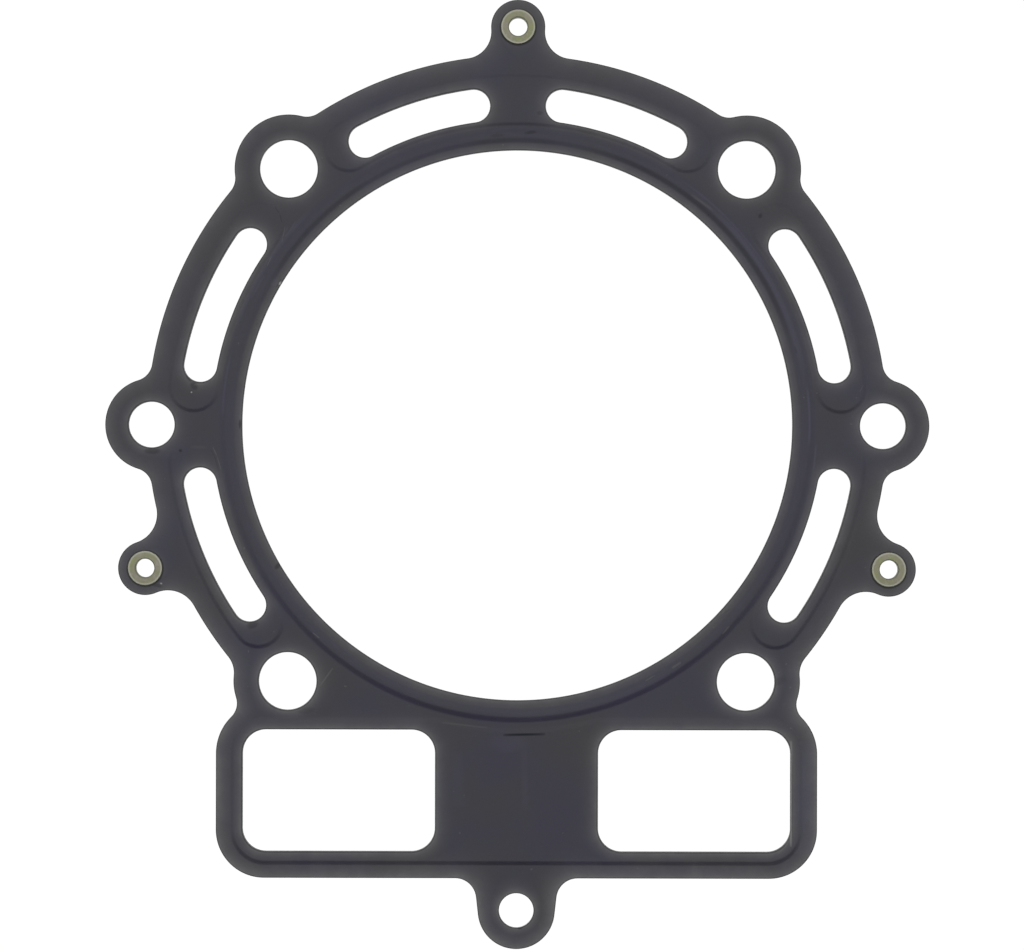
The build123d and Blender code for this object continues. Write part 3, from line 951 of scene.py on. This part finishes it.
def cutSteel():
    # Upright streaks from the punch, smooth above and torn below
    material, graph = shaderGraph("punchedSteel")
    place = graph.value("ShaderNodeTexCoord", output="Object")
    upright = graph.value("ShaderNodeVectorMath", {"operation": "MULTIPLY"}, {
        0: place, 1: (1.0, 1.0, 0.08)})
    streaks = noise(graph, upright, steel["streakScale"], 3.0)
    torn = noise(graph, place, steel["tornScale"], 3.0)
    colour = graph.mixColour(streaks.fade(0.2, 0.8), steel["cutShade"], steel["cut"])
    relief = bump(graph, streaks + torn * 0.5, 0.3, reliefDepth)
    finishShader(graph, {"Base Color": colour, "Roughness": streaks * 0.2 + 0.35,
                         "Metallic": 0.7, "Normal": relief})
    return material


def rolledSteel():
    # The carrier's flats, with fine lines along the strip's rolling direction
    material, graph = shaderGraph("rolledSteel")
    place = graph.value("ShaderNodeTexCoord", output="Object")
    drawn = graph.value("ShaderNodeVectorMath", {"operation": "MULTIPLY"}, {
        0: place, 1: (0.03, 1.0, 1.0)})
    lines = noise(graph, drawn, steel["lineScale"], 3.0, 0.6)
    cloud = noise(graph, place, steel["cloudScale"], 2.0)
    colour = graph.mixColour(lines.fade(0.25, 0.75), steel["rolledShade"], steel["rolled"])
    relief = bump(graph, lines, 0.2, reliefDepth / 2)
    finishShader(graph, {"Base Color": colour, "Roughness": lines * 0.15 + cloud * 0.1 + 0.25,
                         "Metallic": 0.9, "Normal": relief})
    return material


# Olive passivated steel of the eyelets
eyeletFinish = {
    "olive": tone(166, 166, 137),
    "pale": tone(204, 203, 187),
    "deep": tone(132, 132, 112),
    "rim": tone(92, 91, 78),
    "line": tone(126, 127, 96),
    "worn": tone(172, 165, 150),
    "green": tone(164, 170, 114),
    "ringPitch": 34.0,               # turning marks, in radians a millimetre
    "finePitch": 95.0,
    "wobbleScale": 900.0,
    "blotchScale": 1300.0,
    "patchScale": 430.0,
    "paleFrom": (2.72, 2.98),        # the bright ring on the head, in millimetres from the axis
    "paleTo": (3.19, 3.08),
    "boreFade": (2.02, 1.80),
    "rimFade": (3.06, 3.19),
}


def eyeletMetal():
    e = eyeletFinish
    material, graph = shaderGraph("eyeletMetal")
    place = graph.value("ShaderNodeTexCoord", output="Object")
    radius = attribute(graph, "spinRadius")
    wobble = noise(graph, place, e["wobbleScale"], 2.0) * 0.25
    rings = ((radius + wobble) * e["ringPitch"]).math("SINE") * 0.5 + 0.5
    fine = ((radius + wobble * 0.3) * e["finePitch"]).math("SINE") * 0.5 + 0.5
    blotch = noise(graph, place, e["blotchScale"], 3.0)
    colour = graph.mixColour(rings * blotch * 0.45, e["olive"], e["line"])
    patch = noise(graph, place, e["patchScale"], 2.0)
    colour = graph.mixColour(patch.fade(0.50, 0.62) * 0.70, colour, e["worn"])
    colour = graph.mixColour(patch.fade(0.48, 0.36) * 0.75, colour, e["green"])
    colour = graph.mixColour(blotch.fade(0.5, 0.75) * 0.4, colour, e["pale"])
    brightRing = radius.fade(*e["paleFrom"]) * radius.fade(*e["paleTo"]) * 0.9
    colour = graph.mixColour(brightRing, colour, e["pale"])
    colour = graph.mixColour(radius.fade(*e["boreFade"]) * 0.85, colour, e["deep"])
    colour = graph.mixColour(radius.fade(*e["rimFade"]) * 0.85, colour, e["rim"])
    relief = bump(graph, rings * 0.6 + fine * 0.25 + blotch * 0.3, 0.35, reliefDepth)
    finishShader(graph, {"Base Color": colour, "Roughness": blotch * 0.2 + 0.38,
                         "Metallic": 0.35, "Normal": relief})
    return material


print("finishes: coated, punched, rolled and eyelet metal")
coatedUpper = coatedSteel("coatedSteelUpper", marksAndPaintedLight, (0.0, 0.0, 0.0))
coatedLower = coatedSteel("coatedSteelLower", None, (0.31, -0.17, 0.05))
punched = cutSteel()
rolled = rolledSteel()
eyeletSkin = eyeletMetal()

# Levels of the stack and the full bead's height, read from the frame, in millimetres
carrierLow, carrierHigh = (corner.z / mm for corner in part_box("carrier_layer"))
pressing = {
    "sheetThickness": carrierLow,
    "fullHeight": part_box("upper_sealing_layer")[1].z / mm - carrierHigh - carrierLow,
    "halfHeight": 0.18,
}


def pressedSheet(node, level, turnedOver, face):
    sheet = sheetObject(node.replace("_layer", "_sheet"), sealingHoles, beadLines,
                        pressing["sheetThickness"])
    runTree(sheet, press, {
        "Full bead height": pressing["fullHeight"], "Half bead height": pressing["halfHeight"],
        "Full bead foot": sheetShape["boreRadius"] + beadShape["foot"],
        "Flank": beadShape["flank"], "Crown": beadShape["crown"],
        "Half step": beadShape["halfStep"], "Bend": meshing["bend"], "Level": level,
        "Turned over": turnedOver, "Face": face, "Cut edge": punched})
    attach(sheet, "root")
    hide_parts(node)
    print(node, "pressed:", len(sheet.data.polygons), "faces")


def plainSheet(node):
    sheet = sheetObject("carrier_sheet", openingRounds(sheetShape, 0.0), lambda count: [],
                        carrierHigh - carrierLow)
    runTree(sheet, press, {
        "Full bead height": 0.0, "Half bead height": 0.0, "Level": carrierLow,
        "Face": rolled, "Cut edge": punched})
    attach(sheet, "root")
    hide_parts(node)
    print(node, "cut:", len(sheet.data.polygons), "faces")


press = pressTree()
sealingHoles = openingRounds(sheetShape, sheetShape["setback"])
pressedSheet("upper_sealing_layer", carrierHigh, False, coatedUpper)
pressedSheet("lower_sealing_layer", carrierLow, True, coatedLower)
plainSheet("carrier_layer")

# Section of an eyelet, in millimetres from its axis
eyeletShape = {
    "bore": 1.7,
    "shank": 2.1,
    "lip": 0.22,                     # rounding where the bore opens into the head
    "tailLip": 0.18,
    "headEdge": 0.16,
    "tailEdge": 0.13,
    "tight": 0.03,                   # rounding of the inner corners
    "fall": 0.05,                    # how much lower the head's outer edge is
    "spacing": 0.06,
    "steps": 128,
}


def eyelet(node):
    e = eyeletShape
    low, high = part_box(node)
    top, bottom, head = high.z / mm, low.z / mm, (high.x - low.x) / 2 / mm
    stack = carrierHigh + pressing["sheetThickness"]
    tail = head - 0.2
    rounds = [
        (e["bore"] + e["lip"], top - e["lip"], e["lip"]),
        (head - e["headEdge"], top - e["fall"] - e["headEdge"], e["headEdge"]),
        (head - e["tight"], stack + e["tight"], e["tight"]),
        (e["shank"] + e["tight"], stack - e["tight"], -e["tight"]),
        (e["shank"] + e["tight"], e["tight"], -e["tight"]),
        (tail - e["tight"], -e["tight"], e["tight"]),
        (tail - e["tailEdge"], bottom + e["tailEdge"], e["tailEdge"]),
        (e["bore"] + e["tailLip"], bottom + e["tailLip"], e["tailLip"]),
    ]
    profile = chainLoop(rounds, 0.0, e["spacing"])
    data = bpy.data.meshes.new(node)
    data.from_pydata([(r * mm, 0.0, z * mm) for r, z in profile], [], [])
    ring = bpy.data.objects.new(node.replace("eyelet", "rolled_eyelet"), data)
    bpy.context.scene.collection.objects.link(ring)
    centreX, centreY = boxCentre(node)
    runTree(ring, spin, {"Points": len(profile), "Steps": e["steps"], "Centre X": centreX,
                         "Centre Y": centreY, "Metal": eyeletSkin})
    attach(ring, "root")
    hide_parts(node)
    print(node, "spun:", len(ring.data.polygons), "faces")


spin = spinTree()
for name in eyeletNodes:
    eyelet(name)


# Studio: a white floor with a turned-up rim, a soft box over the far side, and a camera
# that looks straight down
studio = {
    "floorSize": 3.0,
    "wallHeight": 0.5,               # the floor's rim is turned up, for views from low down
    "floorWhite": 0.93,              # share of the floor's white that no shadow darkens
    "floorGlow": 1.08,
    "world": 0.094,
    "softBoxPlace": (0.0, 0.66, 2.0),
    "softBoxAim": (0.0, 0.66, 0.0),
    "softBoxSize": (4.6, 2.78),
    "softBoxPower": 34.9,
    "viewCentre": (-0.955, -9.161),  # millimetres under the middle of the frame
    "viewWidth": 188.85,             # millimetres across the frame
    "viewDistance": 0.52,
    "viewRoll": 0.13,                # degrees
    "sensor": 36.0,
}


def floorMaterial():
    material, graph = shaderGraph("whiteFloor")
    ray = graph.node("ShaderNodeLightPath")
    seen = strongest([Sig(graph, ray.outputs[key])
                      for key in ("Is Camera Ray", "Is Glossy Ray", "Is Transmission Ray")])
    matte = graph.node("ShaderNodeBsdfDiffuse", sockets={"Color": (0.9, 0.9, 0.9, 1.0)})
    white = graph.node("ShaderNodeEmission", sockets={"Color": (1.0, 1.0, 1.0, 1.0),
                                                      "Strength": studio["floorGlow"]})
    both = graph.node("ShaderNodeMixShader", sockets={0: seen * studio["floorWhite"]})
    graph.tree.links.new(matte.outputs[0], both.inputs[1])
    graph.tree.links.new(white.outputs[0], both.inputs[2])
    output = graph.node("ShaderNodeOutputMaterial")
    graph.tree.links.new(both.outputs[0], output.inputs[0])
    return material


def makeStudio():
    half, level = studio["floorSize"] / 2, cadBox[0].z
    corners = [(-half, -half), (half, -half), (half, half), (-half, half)]
    points = [(x, y, z) for z in (level, level + studio["wallHeight"]) for x, y in corners]
    walls = [((i + 1) % 4, i, i + 4, (i + 1) % 4 + 4) for i in range(4)]
    data = bpy.data.meshes.new("floor")
    data.from_pydata(points, [], [(0, 1, 2, 3)] + walls)
    data.materials.append(floorMaterial())
    floor = bpy.data.objects.new("floor", data)
    bpy.context.scene.collection.objects.link(floor)
    world = bpy.data.worlds.new("studioWorld")
    world.use_nodes = True
    ground = world.node_tree.nodes["Background"]
    ground.inputs["Color"].default_value = (1.0, 1.0, 1.0, 1.0)
    ground.inputs["Strength"].default_value = studio["world"]
    bpy.context.scene.world = world
    lamp = bpy.data.lights.new("softBox", "AREA")
    lamp.shape = "RECTANGLE"
    lamp.size, lamp.size_y = studio["softBoxSize"]
    lamp.energy = studio["softBoxPower"]
    softBox = bpy.data.objects.new("softBox", lamp)
    bpy.context.scene.collection.objects.link(softBox)
    softBox.location = studio["softBoxPlace"]
    aim = Vector(studio["softBoxAim"]) - softBox.location
    softBox.rotation_euler = aim.to_track_quat("-Z", "Y").to_euler()


def makeCamera():
    lens = bpy.data.cameras.new("camera")
    lens.sensor_width = studio["sensor"]
    lens.lens = studio["sensor"] * studio["viewDistance"] / (studio["viewWidth"] * mm)
    camera = bpy.data.objects.new("camera", lens)
    bpy.context.scene.collection.objects.link(camera)
    x, y = studio["viewCentre"]
    faceLevel = carrierHigh + pressing["sheetThickness"]
    camera.location = (x * mm, y * mm, faceLevel * mm + studio["viewDistance"])
    camera.rotation_euler = (0.0, 0.0, math.radians(studio["viewRoll"]))
    bpy.context.scene.camera = camera


makeStudio()
makeCamera()
bpy.context.scene.view_settings.view_transform = "Standard"
print("studio set")
